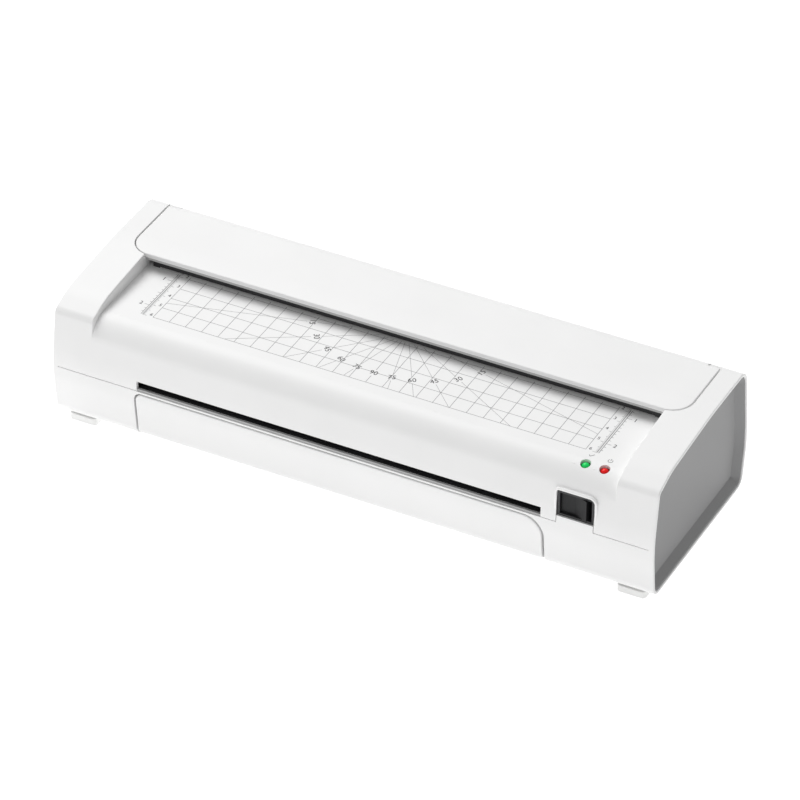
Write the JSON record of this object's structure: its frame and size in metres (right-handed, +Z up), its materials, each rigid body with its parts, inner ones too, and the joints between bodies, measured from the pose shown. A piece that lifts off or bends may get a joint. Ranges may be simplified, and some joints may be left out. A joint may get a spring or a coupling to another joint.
{
  "type": "pouch laminator",
  "caption": "Low desktop pouch laminator with a printed paper bed, lidded cutter behind it, front pouch slot, fold-down feed tray, rocker switch and two lamps.",
  "frame": {"origin": "on the table under the middle of the machine", "axes": "+X along the machine, to the right seen from the front; front faces -Y; +Z up"},
  "size_m": [0.362, 0.119, 0.081],
  "materials": {
    "case_white": "fine satin moulding",
    "panel_grey": "satin grey moulding",
    "strip_grey": "satin light grey",
    "foot_rubber": "light grey rubber",
    "aluminium": "drawn, satin",
    "black_plastic": "fine matt black",
    "mat_grey": "self-healing mat",
    "brass": "plain",
    "board_green": "solder mask",
    "lamp_green": "tinted clear",
    "lamp_red": "tinted clear",
    "rubber": "plain",
    "steel": "zinc plated",
    "bearing_plastic": "plain",
    "spring_steel": "plain",
    "element": "mica board",
    "wire": "plain",
    "rocker_black": "satin",
    "carriage_grey": "satin",
    "button_blue": "satin",
    "roller_silicone": "silicone",
    "gear_white": "acetal"
  },
  "bodies": {
    "case": {"top_housing": "case_white", "bottom_case": "case_white", "end_frame_right": "case_white", "end_panel_right": "panel_grey", "end_frame_left": "case_white", "end_panel_left": "panel_grey", "slot_lip": "strip_grey", "feet": "foot_rubber", "guide_rail": "aluminium", "rail_end_blocks": "black_plastic", "cutting_mat": "mat_grey", "clamp_bar": "black_plastic", "switch_body": "black_plastic", "switch_terminals": "brass", "lamp_board": "board_green", "green_lamp": "lamp_green", "red_lamp": "lamp_red", "cord_gland": "rubber", "side_frame_left": "steel", "side_frame_right": "steel", "tie_rods": "steel", "lower_bushes": "bearing_plastic", "pressure_springs": "spring_steel", "gear_motor": "steel", "motor_bracket": "steel", "lower_heater_plate": "aluminium", "upper_heater_plate": "aluminium", "lower_heating_element": "element", "upper_heating_element": "element", "thermostat": "aluminium", "thermal_fuse": "steel", "heat_shield": "steel", "entry_guides": "black_plastic", "exit_guides": "black_plastic", "control_board": "board_green", "board_components": "black_plastic", "wiring_harness": "wire", "case_screws": "steel", "frame_screws": "steel"},
    "lid": {"lid": "case_white", "lid_edge_strip": "strip_grey", "lid_hinge_pins": "steel"},
    "tray": {"feed_tray": "case_white", "tray_hinge_pins": "steel"},
    "rocker": {"power_rocker": "rocker_black"},
    "carriage": {"cutter_carriage": "carriage_grey", "button_springs": "spring_steel"},
    "button": {"cutter_button": "button_blue", "cutter_blade": "steel"},
    "lower_roller": {"lower_roller_core": "steel", "lower_roller_sleeve": "roller_silicone", "lower_roller_clip": "spring_steel", "lower_roller_gear": "gear_white"},
    "upper_bearing": {"upper_bushes": "bearing_plastic"},
    "upper_roller": {"upper_roller_core": "steel", "upper_roller_sleeve": "roller_silicone", "upper_roller_clip": "spring_steel", "upper_roller_gear": "gear_white"},
    "motor_drive": {"motor_pinion": "gear_white", "motor_shaft": "steel"}
  },
  "joints": [
    {"name": "lid_hinge", "type": "hinge", "parent": "case", "child": "lid", "pos_m": [0, 0.053, 0.075], "axis": [-1, 0, 0], "range_deg": [0, 100]},
    {"name": "tray_hinge", "type": "hinge", "parent": "case", "child": "tray", "pos_m": [0, -0.0535, 0.0095], "axis": [1, 0, 0], "range_deg": [0, 85]},
    {"name": "power_rocker_tilt", "type": "hinge", "parent": "case", "child": "rocker", "pos_m": [0.1352, -0.0513, 0.0491], "axis": [0, 0, 1], "range_deg": [0, 20]},
    {"name": "carriage_slide", "type": "slide", "parent": "case", "child": "carriage", "axis": [1, 0, 0], "range_m": [0, 0.268]},
    {"name": "button_press", "type": "slide", "parent": "carriage", "child": "button", "axis": [0, 0, -1], "range_m": [0, 0.0022], "stiffness_N_per_m": 400, "springref_m": -0.002, "deforming": ["button_springs"]},
    {"name": "lower_roller_spin", "type": "hinge", "parent": "case", "child": "lower_roller", "pos_m": [0, 0.008, 0.029], "axis": [1, 0, 0], "continuous": true},
    {"name": "upper_bearing_lift", "type": "slide", "parent": "case", "child": "upper_bearing", "axis": [0, 0, 1], "range_m": [0, 0.0006], "stiffness_N_per_m": 3000, "springref_m": -0.004, "deforming": ["pressure_springs"]},
    {"name": "upper_roller_spin", "type": "hinge", "parent": "upper_bearing", "child": "upper_roller", "pos_m": [0, 0.008, 0.051], "axis": [1, 0, 0], "continuous": true},
    {"name": "motor_pinion_spin", "type": "hinge", "parent": "case", "child": "motor_drive", "pos_m": [0, -0.00985, 0.0355], "axis": [1, 0, 0], "continuous": true}
  ],
  "couplings": [
    {"joint": "upper_roller_spin", "follows": "lower_roller_spin", "ratio": -1},
    {"joint": "motor_pinion_spin", "follows": "lower_roller_spin", "ratio": -1.375}
  ]
}
